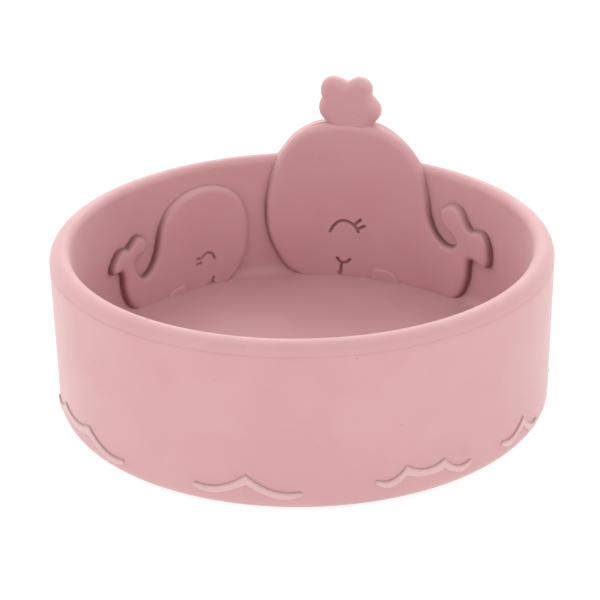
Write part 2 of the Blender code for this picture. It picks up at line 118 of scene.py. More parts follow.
SMALL_WHALE_OUTLINE = (
    (-14.2, 7.5, CORNER), (-14.9, 8.2, SMOOTH), (-17.2, 10.3, SMOOTH), (-19.0, 13.2, SMOOTH),
    (-20.1, 17.0, SMOOTH), (-20.4, 20.6, SMOOTH), (-21.4, 22.3, SMOOTH), (-23.4, 22.6, SMOOTH),
    (-25.4, 23.0, SMOOTH), (-25.4, 24.4, SMOOTH), (-23.8, 26.3, SMOOTH), (-21.4, 28.0, SMOOTH),
    (-19.4, 28.1, SMOOTH), (-17.7, 27.5, SMOOTH), (-15.8, 28.8, SMOOTH), (-13.6, 29.9, SMOOTH),
    (-11.4, 29.2, SMOOTH), (-10.2, 27.5, SMOOTH), (-10.6, 25.6, SMOOTH), (-12.4, 24.4, SMOOTH),
    (-14.9, 24.0, SMOOTH), (-15.6, 22.8, SMOOTH), (-15.0, 20.4, SMOOTH), (-13.6, 18.3, SMOOTH),
    (-11.6, 17.1, SMOOTH), (-9.6, 17.8, SMOOTH), (-7.6, 19.7, SMOOTH), (-6.2, 22.4, SMOOTH),
    (-5.0, 26.4, SMOOTH), (-3.4, 30.6, SMOOTH), (-0.7, 33.9, SMOOTH), (3.0, 36.4, SMOOTH),
    (7.4, 37.9, SMOOTH), (11.8, 38.2, SMOOTH), (16.4, 37.3, SMOOTH), (20.2, 35.0, SMOOTH),
    (22.9, 30.8, SMOOTH), (23.9, 24.6, SMOOTH), (23.2, 17.6, SMOOTH), (21.2, 12.4, SMOOTH),
    (18.6, 9.0, SMOOTH), (17.1, 7.5, CORNER),
)
SMALL_FIN_OUTLINE = (
    (-4.4, 7.5, CORNER), (-3.2, 9.1, SMOOTH), (-1.4, 10.1, SMOOTH), (0.8, 10.6, SMOOTH),
    (2.5, 10.6, SMOOTH), (2.9, 9.8, SMOOTH), (2.9, 7.5, CORNER),
)

# Top of the wall behind the big whale's head, as (along, up)
HEAD_CREST = (
    (-21.6, 40.0), (-19.7, 45.1), (-18.1, 47.6), (-16.4, 49.8), (-14.0, 51.8), (-11.4, 53.3),
    (-7.4, 54.7), (0.0, 55.2), (7.0, 54.6), (10.4, 53.3), (13.3, 51.4), (16.2, 48.8), (17.8, 46.8),
    (18.9, 44.4), (20.4, 40.0),
)

# Engraved lines, as points (along, up) that a smooth stroke runs through
BIG_FACE_LINES = (
    (
        (-5.4, 22.3), (-4.5, 23.9), (-3.2, 25.2), (-1.6, 25.8), (0.0, 25.6), (1.4, 24.9), (2.5, 23.8),
        (3.1, 22.6),
    ),
    ((2.2, 25.0), (3.8, 26.4)),
    ((3.0, 23.5), (5.0, 24.6)),
    ((-3.4, 14.1), (-2.7, 13.2), (-1.6, 12.7), (-0.4, 13.0), (0.5, 13.8)),
    ((-2.0, 12.7), (-2.7, 7.9)),
)
SMALL_FACE_LINES = (
    ((9.1, 17.3), (10.0, 18.3), (11.3, 18.6), (12.5, 18.0), (13.2, 16.6)),
    ((7.5, 17.5), (8.7, 17.2)),
    ((7.4, 15.9), (8.6, 16.0)),
    ((12.6, 10.8), (12.2, 9.6)),
    ((12.2, 9.6), (10.8, 8.8)),
    ((12.2, 9.6), (13.0, 8.4)),
)

# Each wave is (azimuth of its left end, arc widths, height of each end and peak)
WAVES = (
    (191.2, (13.6, 13.7), (6.2, 10.1, 6.0)),
    (151.6, (7.8, 11.2, 8.1), (7.6, 10.2, 9.4, 6.5)),
    (118.0, (10.3, 9.2), (6.8, 9.8, 5.2)),
    (246.5, (11.2, 16.3, 14.3), (6.2, 9.2, 9.6, 5.6)),
    (79.0, (12.4, 12.8), (6.8, 9.6, 6.8)),
    (48.0, (9.8, 10.4, 9.6), (7.0, 10.2, 9.8, 7.2)),
    (338.0, (13.0, 13.4), (6.8, 10.0, 7.0)),
    (288.0, (8.4, 10.8, 8.6), (7.2, 10.3, 9.9, 7.4)),
)


def length(name, default, description):
    """A property in metres whose default is given in millimetres."""
    return bpy.props.FloatProperty(
        name=name, description=description, default=default * MM, unit="LENGTH", precision=5
    )


def portion(name, default, description):
    """A property from 0 to 1."""
    return bpy.props.FloatProperty(
        name=name, description=description, default=default, min=0.0, max=1.0
    )


def colour(name, default, description):
    """A colour property with three linear channels."""
    return bpy.props.FloatVectorProperty(
        name=name, description=description, default=default, subtype="COLOR", size=3, min=0.0, max=1.0
    )


class BowlSizes(bpy.types.PropertyGroup):
    """Sizes of the moulded bowl."""

    wall: length("Wall", 5.4, "Thickness of the wall")
    rim_height: length("Rim height", 45.8, "Height of the rim above the table")
    rim_outer_round: length("Rim outer rounding", 3.3, "Radius of the rim's outer edge")
    foot_radius: length("Radius at the foot", 64.5, "Outer radius just above the bottom rounding")
    bottom_round: length("Bottom rounding", 4.0, "Radius of the skirt's bottom edge")
    floor_height: length("Floor height", 9.7, "Height of the floor inside the bowl")
    floor_thickness: length("Floor thickness", 4.0, "Thickness of the floor")
    floor_fillet: length("Floor fillet", 3.0, "Radius where the floor meets the wall")
    skirt_inner: length("Skirt inner radius", 58.5, "Inner radius of the skirt under the floor")
    parting_drop: length("Parting line", 3.2, "How far the mould line runs below the rim")
    parting_depth: length("Parting line depth", 0.1, "How deep the mould line is")
    notch_half_width: length("Notch half width", 10.0, "Half the thumb notch's width")
    notch_rise: length("Notch height", 6.5, "Height of the thumb notch in the skirt")


class ReliefSizes(bpy.types.PropertyGroup):
    """Sizes of the whales, their fins, the spout and the waves."""

    big_face: length("Big whale's face", 57.2, "Radius at which the big whale's face stands")
    small_face: length("Small whale's face", 57.3, "Radius at which the small whale's face stands")
    small_azimuth: bpy.props.FloatProperty(
        name="Small whale's azimuth", description="Where the small whale sits", default=-52.0
    )
    swell: length("Swell", 0.35, "How far a whale's edge stands outside its outline")
    big_edge: length("Big whale's edge", 1.9, "Rounding of the big whale's edge")
    small_edge: length("Small whale's edge", 1.8, "Rounding of the small whale's edge")
    undercut: length("Undercut", 1.0, "Rounding of a whale's edge where it meets the wall")
    root: length("Root", 0.3, "How deep a whale's plate runs into the wall")
    flush: length("Flush height", 44.0, "Height above which a whale's back edge is square")
    # painted shade: how wide the dark band of painted shade round a whale is, and how dark the painted
    # shade in each whale's engraved lines is
    painted_shade_width: length("Crease width", 0.8, "Width of the dark crease round a whale")
    big_line_shade: portion("Big whale's lines", 0.75, "How dark the big whale's engraved lines are")
    small_line_shade: portion("Small whale's lines", 0.35, "How dark the small whale's lines are")
    fin_relief: length("Fin relief", 0.7, "How far a fin stands proud of its whale")
    fin_edge: length("Fin edge", 0.5, "Rounding of a fin's edge")
    fin_root: length("Fin root", 0.6, "How deep a fin's plate runs into its whale")
    line_width: length("Face line width", 1.0, "Width of the engraved face lines")
    line_depth: length("Face line depth", 0.9, "Depth of the engraved face lines")
    spout_inner: length("Spout's front", 57.6, "Radius at which the spout's front stands")
    spout_outer: length("Spout's back", 62.9, "Radius at which the spout's back stands")
    spout_edge: length("Spout's edge", 2.2, "Rounding of the spout's edges")
    wave_relief: length("Wave relief", 0.5, "How far a wave stands proud of the wall")
    wave_thickness: length("Wave thickness", 1.8, "Thickness of a wave's plate")
    # painted shade: width of the dark line of painted shade along a wave's top edge
    wave_painted_shade: length("Wave crease", 0.5, "Width of the dark line along a wave's top edge")
    wave_sag: length("Wave sag", 1.7, "How far an arc of a wave hangs below its peaks")
    wave_peak_band: length("Wave band at a peak", 2.9, "Height of a wave's band at its peaks")
    wave_trough_band: length("Wave band in a trough", 2.1, "Height of a wave's band between peaks")
    wave_end_band: length("Wave band at an end", 1.5, "Height of a wave's band at its two ends")
    wave_edge: length("Wave edge", 0.35, "Rounding of a wave's edge")


class FootSizes(bpy.types.PropertyGroup):
    """Sizes of the suction foot and its release tab."""

    lip_inner: length("Lip inner radius", 50.3, "Inner radius of the lip's flat underside")
    lip_root: length("Lip root", 2.6, "Height of the lip where the dome starts")
    lip_edge: length("Lip edge", 0.9, "Thickness of the lip's outer edge")
    dome_thickness: length("Dome thickness", 1.4, "Thickness of the dome")
    hub_height: length("Hub height", 4.2, "Height of the hub's top above the skirt's bottom edge")
    hub_thickness: length("Hub thickness", 2.0, "Thickness of the hub")
    tab_thickness: length("Tab thickness", 1.2, "Thickness of the tab")
    tab_nose: length("Tab nose", 5.0, "How far the rounded end of the tab reaches")
    tab_edge: length("Tab edge", 0.4, "Rounding of the tab's edges")
    tab_root: length("Tab root", 55.6, "Where the tab grows out of the lip")
    tab_bead: length("Tab bead", 0.9, "How far the bead at the tab's end stands up")


class SiliconeLook(bpy.types.PropertyGroup):
    """Colour and surface of the silicone."""

    pink: colour("Pink", (0.572, 0.316, 0.325), "The silicone's colour")
    deep_pink: colour("Deep pink", (0.556, 0.298, 0.308), "Colour of the darker mottling")
    # painted sheen: the waves are painted in this paler colour to stand in for the light their raised
    # faces catch
    painted_wave_sheen: colour("Polished", (0.610, 0.392, 0.388), "Colour of the polished raised waves")
    # painted shade: this dark colour stands in for the shadow in the creases round the whales, along
    # the waves' top edges and down in the engraved lines
    painted_shade: colour("Crease", (0.24, 0.095, 0.10), "Colour down in the creases and engraved lines")
    speck: colour("Speck", (0.43, 0.22, 0.23), "Colour of the fine dust specks")
    roughness: bpy.props.FloatProperty(name="Roughness", description="Surface roughness", default=0.55)
    grain: length("Grain", 0.35, "Size of the fine moulded grain")


class StageSizes(bpy.types.PropertyGroup):
    """Camera, floor and light."""

    azimuth: bpy.props.FloatProperty(
        name="Camera azimuth", description="Turn round the bowl", default=13.5
    )
    elevation: bpy.props.FloatProperty(
        name="Camera elevation", description="Angle above the table", default=25.113
    )
    distance: length("Camera distance", 540.44, "Distance to the point looked at")
    aim_height: length("Aim height", 21.2, "Height of the point looked at")
    lens: bpy.props.FloatProperty(name="Lens", description="Focal length", default=123.31)
    roll: bpy.props.FloatProperty(name="Roll", description="Turn about the view", default=-0.863)
    tilt: bpy.props.FloatProperty(name="Tilt", description="Aim above the point", default=0.630)
    pan: bpy.props.FloatProperty(name="Pan", description="Aim left of the point", default=0.081)


GROUPS = {
    "bowl_sizes": BowlSizes,
    "relief_sizes": ReliefSizes,
    "foot_sizes": FootSizes,
    "silicone_look": SiliconeLook,
    "stage_sizes": StageSizes,
}


# ---------------------------------------------------------------- shapes


def arc_points(centre_r, centre_z, radius, start, end, steps=8):
    """Points (r, z) on an arc from angle start to angle end, in degrees from +r."""
    return [
        (
            centre_r + radius * math.cos(math.radians(start + (end - start) * i / steps)),
            centre_z + radius * math.sin(math.radians(start + (end - start) * i / steps)),
        )
        for i in range(steps + 1)
    ]


def ease(value):
    """0 below 0, 1 above 1, smooth between."""
    value = min(1.0, max(0.0, value))
    return value * value * (3 - 2 * value)


def spin_round(profile, steps):
    """A bmesh of a profile of (r, z) points turned right round the Z axis."""
    shape = bmesh.new()
    points = [shape.verts.new((r, 0.0, z)) for r, z in profile]
    edges = [shape.edges.new(pair) for pair in zip(points, points[1:])]
    bmesh.ops.spin(
        shape, geom=points + edges, cent=(0, 0, 0), axis=(0, 0, 1), angle=2 * math.pi, steps=steps,
        use_merge=True,
    )
    bmesh.ops.remove_doubles(shape, verts=shape.verts[:], dist=WELD)
    bmesh.ops.recalc_face_normals(shape, faces=shape.faces[:])
    return shape


def outline_points(outline, steps):
    """Points (along, up), in millimetres, that follow a smooth closed outline anticlockwise."""
    curve = bpy.data.curves.new("outline", "CURVE")
    curve.dimensions = "2D"
    curve.fill_mode = "NONE"
    curve.resolution_u = steps
    spline = curve.splines.new("BEZIER")
    spline.use_cyclic_u = True
    spline.bezier_points.add(len(outline) - 1)
    for point, (along, up, handle) in zip(spline.bezier_points, outline):
        point.co = (along, up, 0.0)
        point.handle_left_type = handle
        point.handle_right_type = handle
    flat = bpy.data.objects.new("outline", curve)
    bpy.context.scene.collection.objects.link(flat)
    mesh = bpy.data.meshes.new_from_object(flat.evaluated_get(bpy.context.evaluated_depsgraph_get()))
    points = [vert.co.xy for vert in mesh.vertices]
    bpy.data.objects.remove(flat)
    bpy.data.curves.remove(curve)
    bpy.data.meshes.remove(mesh)
    return points


def even_loop(points, spacing):
    """A closed loop's points, evenly spaced and anticlockwise, as an array."""
    loop = np.array([tuple(point) for point in points], float)
    ahead = np.roll(loop, -1, axis=0)
    if np.sum(loop[:, 0] * ahead[:, 1] - loop[:, 1] * ahead[:, 0]) < 0:
        loop = loop[::-1]
    closed = np.vstack([loop, loop[:1]])
    run = np.concatenate([[0], np.cumsum(np.linalg.norm(np.diff(closed, axis=0), axis=1))])
    places = np.linspace(0, run[-1], max(8, round(run[-1] / spacing)), endpoint=False)
    return np.stack([np.interp(places, run, closed[:, i]) for i in (0, 1)], axis=1)


def distance_to(points, starts, ends):
    """Distance from each point to the nearest of some line segments."""
    nearest = np.full(len(points), np.inf)
    for start, end in zip(starts, ends):
        run = end - start
        share = np.clip((points - start) @ run / max(run @ run, 1e-12), 0, 1)
        gap = np.linalg.norm(points - (start + share[:, None] * run), axis=1)
        nearest = np.minimum(nearest, gap)
    return nearest


def smooth_path(points, steps=8):
    """Points on a smooth curve through the given ones, as an array."""
    if len(points) < 3:
        return np.array(points, float)
    path = []
    ends = [points[0], *points, points[-1]]
    for four in zip(ends, ends[1:], ends[2:], ends[3:]):
        a, b, c, d = (np.array(point) for point in four)
        for i in range(steps):
            t = i / steps
            bend = 2 * a - 5 * b + 4 * c - d
            path.append(0.5 * (2 * b + (c - a) * t + bend * t**2 + (3 * b - a - 3 * c + d) * t**3))
    path.append(np.array(points[-1], float))
    return np.array(path)


def grid_points(low, high, spacing):
    """Points of a triangular grid that covers a box."""
    rows = np.arange(low[1], high[1] + spacing, spacing * 0.866)
    columns = np.arange(low[0], high[0] + spacing, spacing)
    return np.array([(x + spacing / 2 * (i % 2), y) for i, y in enumerate(rows) for x in columns])


def moulded_plate(
    loop, thickness, front_round, back_round=0.0, lines=(), groove=(0.6, 0.7, 0.8), spacing=1.5,
    flush=None, shade=None, painted_shade_width=0.8,
):
    """A closed plate with its edges rounded and lines sunk into its front.

    Everything is in millimetres. The front lies at z 0 and the back at z thickness. The
    lines are grooves of (half width, depth, darkness of painted shade). Above the height flush
    the back's edge is left square. A point attribute holds painted shade: its darkness in the
    lines, and along the edge shade(along, up, how far up the edge faces), cut off at 0 and 1.
    """
    reach = max(front_round, back_round)
    inward = np.roll(loop, -1, axis=0) - np.roll(loop, 1, axis=0)
    inward = np.stack([-inward[:, 1], inward[:, 0]], axis=1)
    inward /= np.linalg.norm(inward, axis=1)[:, None]
    ahead = np.roll(loop, -1, axis=0)
    added = [np.empty((0, 2))]
    for turn in (12, 26, 40, 54, 70, 90):
        inset = reach * (1 - math.cos(math.radians(turn)))
        ring = loop + inward * inset
        added.append(ring[distance_to(ring, loop, ahead) > inset - 0.015])
    field = grid_points(loop.min(axis=0), loop.max(axis=0), spacing)
    added.append(field[distance_to(field, loop, ahead) > reach + 0.35 * spacing])
    paths = [smooth_path(line) for line in lines]
    half, depth, darkness = groove
    if paths:
        starts = np.vstack([path[:-1] for path in paths])
        ends = np.vstack([path[1:] for path in paths])
        kept = added.pop()
        added.append(kept[distance_to(kept, starts, ends) > half + 0.5])
        fine = grid_points(starts.min(axis=0) - 2, ends.max(axis=0) + 2, 0.2)
        added.append(fine[distance_to(fine, starts, ends) < half + 0.4])
    points = np.vstack([loop, *added])
    edges = [(i, (i + 1) % len(loop)) for i in range(len(loop))]
    flat, _, faces, *_ = delaunay_2d_cdt([Vector(point) for point in points], edges, [], 1, 1e-5)
    places = np.array([tuple(point) for point in flat])
    inset = distance_to(places, loop, ahead)
    front = edge_fall(inset, front_round)
    undercut = edge_fall(inset, back_round)
    if flush is not None:
        undercut = undercut * np.clip((flush - places[:, 1]) / 4, 0, 1)
    back = thickness - undercut
    # painted shade along the edge: darkest at the outline, it fades out within the given width
    painted_shade = np.zeros(len(places))
    if shade:
        nearest = [np.argmin(np.sum((loop - place) ** 2, axis=1)) for place in places]
        strength = shade(places[:, 0], places[:, 1], -inward[nearest, 1])
        painted_shade = np.clip(1.15 - inset / painted_shade_width, 0, 1) * np.clip(strength, 0, 1)
    if paths:
        beside = distance_to(places, starts, ends)
        sink = np.clip((half - beside) / (0.5 * half), 0, 1)
        sink = sink * sink * (3 - 2 * sink)
        front = front + depth * sink * (inset > 0.01)
        # painted shade down in the engraved lines
        painted_shade = np.maximum(painted_shade, darkness * sink * np.clip(inset / 0.5, 0, 1))
    rim = [i for i, gap in enumerate(inset) if gap < 1e-4]
    plate = bmesh.new()
    # the painted shade is kept on the vertices as a point attribute
    layer = plate.verts.layers.float.new("painted_shade")
    low = [plate.verts.new((x, y, z)) for (x, y), z in zip(places, front)]
    high = [plate.verts.new((x, y, z)) for (x, y), z in zip(places, back)]
    for first, second, value in zip(low, high, painted_shade):
        first[layer] = value
        second[layer] = value
    for face in faces:
        plate.faces.new([low[i] for i in face])
        plate.faces.new([high[i] for i in reversed(face)])
    on_rim = {low[i]: high[i] for i in rim}
    for edge in [edge for edge in plate.edges if edge.is_boundary and edge.verts[0] in on_rim]:
        first, second = edge.verts
        plate.faces.new([first, second, on_rim[second], on_rim[first]])
    unused = [vert for vert in plate.verts if not vert.link_faces]
    bmesh.ops.delete(plate, geom=unused, context="VERTS")
    bmesh.ops.recalc_face_normals(plate, faces=plate.faces[:])
    return plate


def edge_fall(inset, radius):
    """How far a rounded edge of the given radius falls back at each distance from the outline."""
    if not radius:
        return np.zeros(len(inset))
    short = np.clip(radius - inset, 0, radius)
    return radius - np.sqrt(radius**2 - short**2)


def bend_round(plate, front_radius, azimuth, arc_radius, from_inside=True):
    """Bends a plate round the bowl's axis, with its front facing into the bowl or outwards."""
    side = 1 if from_inside else -1
    for vert in plate.verts:
        along, up, back = vert.co * MM
        angle = math.radians(azimuth) + side * along / arc_radius
        radius = front_radius + side * back
        vert.co = (radius * math.sin(angle), radius * math.cos(angle), up + SKIRT_BOTTOM)
    if plate.calc_volume(signed=True) < 0:
        bmesh.ops.reverse_faces(plate, faces=plate.faces[:])


def finish_piece(name, shape, slot, nodes, body, sharp_angle=35.0, polish_and_painted_sheen=0.0):
    """Makes a bmesh into a silicone piece that stands for CAD nodes and rides on their body."""
    mesh = bpy.data.meshes.new(name)
    shape.to_mesh(mesh)
    shape.free()
    # painted sheen: a point attribute, 1 where the piece is painted in the paler wave colour
    painted_wave_sheen = mesh.attributes.new("polish_and_painted_sheen", "FLOAT", "POINT")
    painted_wave_sheen.data.foreach_set("value", [polish_and_painted_sheen] * len(mesh.vertices))
    mesh.shade_smooth()
    mesh.set_sharp_from_angle(angle=math.radians(sharp_angle))
    mesh.materials.append(silicone(slot))
    piece = bpy.data.objects.new(name, mesh)
    bpy.context.scene.collection.objects.link(piece)
    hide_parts(*nodes)
    if body:
        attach(piece, body)
    return piece


# ---------------------------------------------------------------- silicone


def add_node(tree, kind, **settings):
    """A new shader node with some of its settings given."""
    node = tree.nodes.new(kind)
    for name, value in settings.items():
        setattr(node, name, value)
    return node


def noise(tree, coordinates, size, detail, roughness=0.5):
    """A noise texture with features of about the given size."""
    node = add_node(tree, "ShaderNodeTexNoise")
    node.inputs["Scale"].default_value = 1 / size
    node.inputs["Detail"].default_value = detail
    node.inputs["Roughness"].default_value = roughness
    tree.links.new(coordinates, node.inputs["Vector"])
    return node.outputs["Fac"]


def ramp(tree, factor, low, high):
    """A factor stretched so that low gives 0 and high gives 1."""
    node = add_node(tree, "ShaderNodeMapRange", clamp=True)
    node.inputs["From Min"].default_value = low
    node.inputs["From Max"].default_value = high
    tree.links.new(factor, node.inputs["Value"])
    return node.outputs["Result"]


def mix_colours(tree, factor, first, second):
    """Two colours mixed by a factor; a colour is a socket or a plain colour."""
    node = add_node(tree, "ShaderNodeMix", data_type="RGBA")
    tree.links.new(factor, node.inputs["Factor"])
    for socket, value in ((node.inputs[6], first), (node.inputs[7], second)):
        if isinstance(value, bpy.types.NodeSocket):
            tree.links.new(value, socket)
        else:
            socket.default_value = (*value, 1.0)
    return node.outputs[2]


def silicone(slot):
    """The moulded silicone: soft colour mottling, dust specks, a fine satin grain, painted shade in
    the creases and engraved lines, and a painted sheen that makes the waves paler.
    """
    name = f"moulded_{slot}"
    if name in bpy.data.materials:
        return bpy.data.materials[name]
    look = bpy.context.scene.silicone_look
    material = bpy.data.materials.new(name)
    material.use_nodes = True
    tree = material.node_tree
    shader = tree.nodes["Principled BSDF"]
    coordinates = add_node(tree, "ShaderNodeTexCoord").outputs["Object"]

    clouds = noise(tree, coordinates, 22 * MM, 3)
    mottle = ramp(tree, clouds, 0.42, 0.62)
    tinted = mix_colours(tree, mottle, look.pink, look.deep_pink)
    fine = ramp(tree, noise(tree, coordinates, 1.1 * MM, 2), 0.74, 0.80)
    tinted = mix_colours(tree, fine, tinted, look.speck)
    # painted sheen: marked pieces get the paler wave colour in place of the light their faces catch
    painted_wave_sheen = add_node(tree, "ShaderNodeAttribute", attribute_name="polish_and_painted_sheen").outputs["Fac"]
    tinted = mix_colours(tree, painted_wave_sheen, tinted, look.painted_wave_sheen)
    # painted shade: the shade attribute darkens the colour where shadow falls in the creases and
    # engraved lines
    painted_shade = add_node(tree, "ShaderNodeAttribute", attribute_name="painted_shade").outputs["Fac"]
    tinted = mix_colours(tree, painted_shade, tinted, look.painted_shade)
    tree.links.new(tinted, shader.inputs["Base Color"])

    polish_and_painted_sheen = ramp(tree, noise(tree, coordinates, 9 * MM, 2), 0.3, 0.7)
    spread = add_node(tree, "ShaderNodeMapRange")
    spread.inputs["To Min"].default_value = look.roughness - 0.04
    spread.inputs["To Max"].default_value = look.roughness + 0.05
    tree.links.new(polish_and_painted_sheen, spread.inputs["Value"])
    tree.links.new(spread.outputs["Result"], shader.inputs["Roughness"])

    grain = noise(tree, coordinates, look.grain, 2, 0.6)
    bump = add_node(tree, "ShaderNodeBump")
    bump.inputs["Strength"].default_value = 0.25
    bump.inputs["Distance"].default_value = 0.05 * MM
    tree.links.new(grain, bump.inputs["Height"])
    tree.links.new(bump.outputs["Normal"], shader.inputs["Normal"])

    shader.inputs["IOR"].default_value = 1.42
    shader.inputs["Sheen Weight"].default_value = 0.3
    shader.inputs["Sheen Roughness"].default_value = 0.4
    shader.inputs["Subsurface Weight"].default_value = 0.1
    shader.inputs["Subsurface Radius"].default_value = (1.0, 0.45, 0.4)
    shader.inputs["Subsurface Scale"].default_value = 1.5 * MM
    return material


# ---------------------------------------------------------------- pieces


def bowl_profile(sizes):
    """(r, z) points from the floor's centre, over the rim, under the skirt, to the socket."""
    inner = OUTER_RADIUS - sizes.wall
    rim = sizes.rim_height
    outer_round = sizes.rim_outer_round
    inner_round = sizes.wall - outer_round
    ceiling = sizes.floor_height - sizes.floor_thickness
    foot = sizes.foot_radius
    wall_top, wall_bottom = rim - outer_round, SKIRT_BOTTOM + sizes.bottom_round

    def wall(z):
        share = min(1.0, (z - wall_bottom) / (wall_top - wall_bottom))
        return (foot + (OUTER_RADIUS - foot) * share, z)

    floor = [(r * MM, sizes.floor_height) for r in (0, 8, 20, 32, 44, 52)]
    fillet = arc_points(
        inner - sizes.floor_fillet, sizes.floor_height + sizes.floor_fillet, sizes.floor_fillet, -90, 0
    )
    inside = [(inner, z * MM) for z in (16, 22, 28, 33, 36, 38.5, 40.8)]
    rim_in = arc_points(inner + inner_round, rim - inner_round, inner_round, 180, 90)
    rim_out = arc_points(OUTER_RADIUS - outer_round, rim - outer_round, outer_round, 90, 0)
    line = rim - sizes.parting_drop
    half = 0.18 * MM
    groove_r = wall(line)[0] - sizes.parting_depth
    parting = [wall(line + half), (groove_r, line), wall(line - half)]
    outside = [wall(z * MM) for z in (40.8, 38.5, 36, 33, 28, 22, 17, 14, 12, 10, 8, 6.5)]
    bottom = arc_points(
        foot - sizes.bottom_round, wall_bottom, sizes.bottom_round, 0, -90, 10
    )
    recess = [
        (sizes.skirt_inner + 0.4 * MM, SKIRT_BOTTOM),
        (sizes.skirt_inner, SKIRT_BOTTOM + 0.4 * MM),
        (sizes.skirt_inner, ceiling),
        (30 * MM, ceiling),
        (HUB_RADIUS / 2, ceiling),
        (0.0, ceiling),
    ]
    return floor + fillet + inside + rim_in + rim_out[1:] + parting + outside + bottom + recess


def crest_height(crest, along):
    """Height of the crest at a place along the wall, or 0 beside it."""
    return float(np.interp(along, crest[:, 0], crest[:, 1], left=0.0, right=0.0))


def raise_head(shape, sizes):
    """Lifts the rim behind the big whale's head, whose outline it follows."""
    crest = smooth_path(HEAD_CREST) * MM
    inner = OUTER_RADIUS - sizes.wall
    inner_round = sizes.wall - sizes.rim_outer_round
    blend = 0.5 * MM
    for vert in shape.verts:
        share = ease((vert.co.z - (sizes.rim_height - 16 * MM)) / (11.5 * MM))
        if not share:
            continue
        along = math.atan2(vert.co.x, vert.co.y) * inner
        above = crest_height(crest, along) + SKIRT_BOTTOM - sizes.rim_height
        lift = (above + math.hypot(above, blend)) / 2 if above > -4 * MM else 0.0
        radius = math.hypot(vert.co.x, vert.co.y)
        if radius < inner + inner_round and vert.co.z > sizes.rim_height - inner_round:
            vert.co.z += (sizes.rim_height - vert.co.z - 0.05 * MM) * ease(lift / (3 * MM))
        vert.co.z += lift * share


def raise_notch(shape, sizes):
    """Arches the skirt's bottom edge over the release tab."""
    reach = 14 * MM
    power = 4
    for vert in shape.verts:
        radius = math.hypot(vert.co.x, vert.co.y)
        if radius < sizes.skirt_inner - WELD or vert.co.z > reach:
            continue
        ceiling = sizes.floor_height - sizes.floor_thickness
        if radius < sizes.skirt_inner + WELD and vert.co.z > ceiling - WELD:
            continue
        across = abs(math.atan2(vert.co.x, vert.co.y) * radius) / sizes.notch_half_width
        if across >= 1:
            continue
        arch = (1 - across**power) ** (1 / power)
        share = 1 - ease((vert.co.z - SKIRT_BOTTOM) / (reach - SKIRT_BOTTOM))
        vert.co.z += sizes.notch_rise * arch * share


class SUCTIONBOWL_OT_bowl(bpy.types.Operator):
    """Mould the bowl: floor, wall, rounded rim, raised head backing and skirt"""

    bl_idname = "suction_bowl.bowl"
    bl_label = "Bowl"

    def execute(self, context):
        sizes = context.scene.bowl_sizes
        shape = spin_round(bowl_profile(sizes), 480)
        raise_head(shape, sizes)
        raise_notch(shape, sizes)
        bmesh.ops.scale(shape, vec=(JUST_INSIDE, JUST_INSIDE, 1), verts=shape.verts)
        finish_piece("moulded_bowl", shape, "bowl_silicone", ["bowl_shell"], "bowl")
        return {"FINISHED"}


def swollen(loop, gap):
    """An anticlockwise loop moved outwards by a small gap."""
    run = np.roll(loop, -1, axis=0) - np.roll(loop, 1, axis=0)
    outward = np.stack([run[:, 1], -run[:, 0]], axis=1)
    return loop + gap * outward / np.linalg.norm(outward, axis=1)[:, None]


def make_relief(
    name, outline, front, back, edge, azimuth, node, back_edge=0.0, lines=(), line_shade=0.0, shade=None
):
    """A relief inside the wall, from its front's radius to its back's, bent on to the wall."""
    scene = bpy.context.scene
    sizes = scene.relief_sizes
    loop = even_loop(outline_points(outline, 16), 0.45)
    if shade:
        loop = swollen(loop, sizes.swell / MM)
    plate = moulded_plate(
        loop, (back - front) / MM, edge / MM, back_edge / MM, lines,
        (sizes.line_width / 2 / MM, sizes.line_depth / MM, line_shade),
        flush=sizes.flush / MM if shade else None, shade=shade, painted_shade_width=sizes.painted_shade_width / MM,
    )
    bend_round(plate, front, azimuth, OUTER_RADIUS - scene.bowl_sizes.wall)
    return finish_piece(name, plate, "whale_silicone", [node], "bowl")


def big_shade(along, up, facing_up):
    """The big whale's painted shade round its edge is strong below the rim and fades out up its head.
    """
    return 0.95 - (up - 30.0) / 15


def small_shade(along, up, facing_up):
    """The small whale's painted shade round its edge is strong on its tail's side."""
    return 0.12 + (-1.0 - along) / 5


def wave_shade(along, up, facing_up):
    """A wave's painted shade follows its top edge."""
    return np.clip(facing_up * 2.0 - 0.4, 0, 1) * 0.5


class SUCTIONBOWL_OT_whales(bpy.types.Operator):
    """Mould the two whales on the wall, with their fins"""

    bl_idname = "suction_bowl.whales"
    bl_label = "Whales"

    def execute(self, context):
        sizes = context.scene.relief_sizes
        back = OUTER_RADIUS - context.scene.bowl_sizes.wall + sizes.root
        # each kind also gives how dark the painted shade in its lines is and how the painted shade
        # runs round its edge
        kinds = (
            ("large_whale", BIG_WHALE_OUTLINE, BIG_FIN_OUTLINE, BIG_FACE_LINES, sizes.big_face,
             sizes.big_edge, 0.0, "big_whale", sizes.big_line_shade, big_shade),
            ("little_whale", SMALL_WHALE_OUTLINE, SMALL_FIN_OUTLINE, SMALL_FACE_LINES,
             sizes.small_face, sizes.small_edge, sizes.small_azimuth, "small_whale",
             sizes.small_line_shade, small_shade),
        )
        for name, outline, fin, lines, face, edge, azimuth, node, line_shade, shade in kinds:
            make_relief(
                f"{name}_relief", outline, face, back, edge, azimuth, node, sizes.undercut, lines,
                line_shade, shade,
            )
            make_relief(
                f"{name}_fin_relief", fin, face - sizes.fin_relief, face + sizes.fin_root,
                sizes.fin_edge, azimuth, f"{node}_fin",
            )
        return {"FINISHED"}


class SUCTIONBOWL_OT_spout(bpy.types.Operator):
    """Mould the four-lobed spout on the big whale's head"""

    bl_idname = "suction_bowl.spout"
    bl_label = "Spout"

    def execute(self, context):
        sizes = context.scene.relief_sizes
        make_relief(
            "spout_relief", SPOUT_OUTLINE, sizes.spout_inner, sizes.spout_outer, sizes.spout_edge, 0.0,
            "big_whale_spout", back_edge=sizes.spout_edge,
        )
        return {"FINISHED"}


